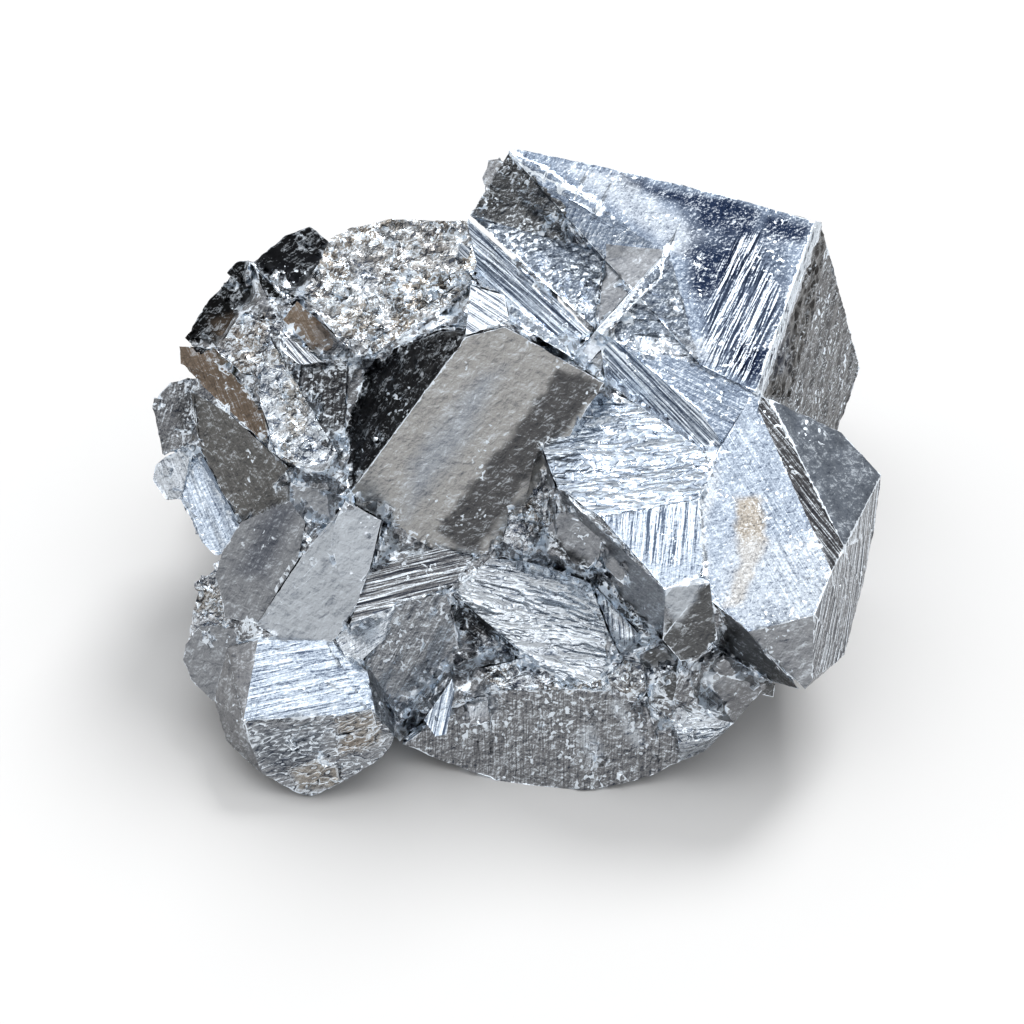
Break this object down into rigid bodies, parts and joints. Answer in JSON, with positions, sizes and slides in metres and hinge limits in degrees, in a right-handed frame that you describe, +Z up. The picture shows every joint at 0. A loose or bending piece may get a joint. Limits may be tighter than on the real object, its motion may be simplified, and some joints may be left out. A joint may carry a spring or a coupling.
{
  "type": "pyrite cluster",
  "caption": "Intergrown lump of flat-faced, striated metallic crystals, blocky and stepped, that rests on the flats of its underside as a display stone.",
  "frame": {"origin": "bottom centre of the bounding box, on the plane that the stone rests on", "axes": "+X to the right as the stone is seen from its front, along its widest side; +Y to its back; +Z up"},
  "size_m": [0.0742, 0.0708, 0.0419],
  "materials": {
    "pyrite": "natural metallic crystal faces, bright and striated on top, dull and dark on the broken sides"
  },
  "bodies": {
    "root": {"pyrite_cluster": "pyrite"}
  },
  "joints": []
}
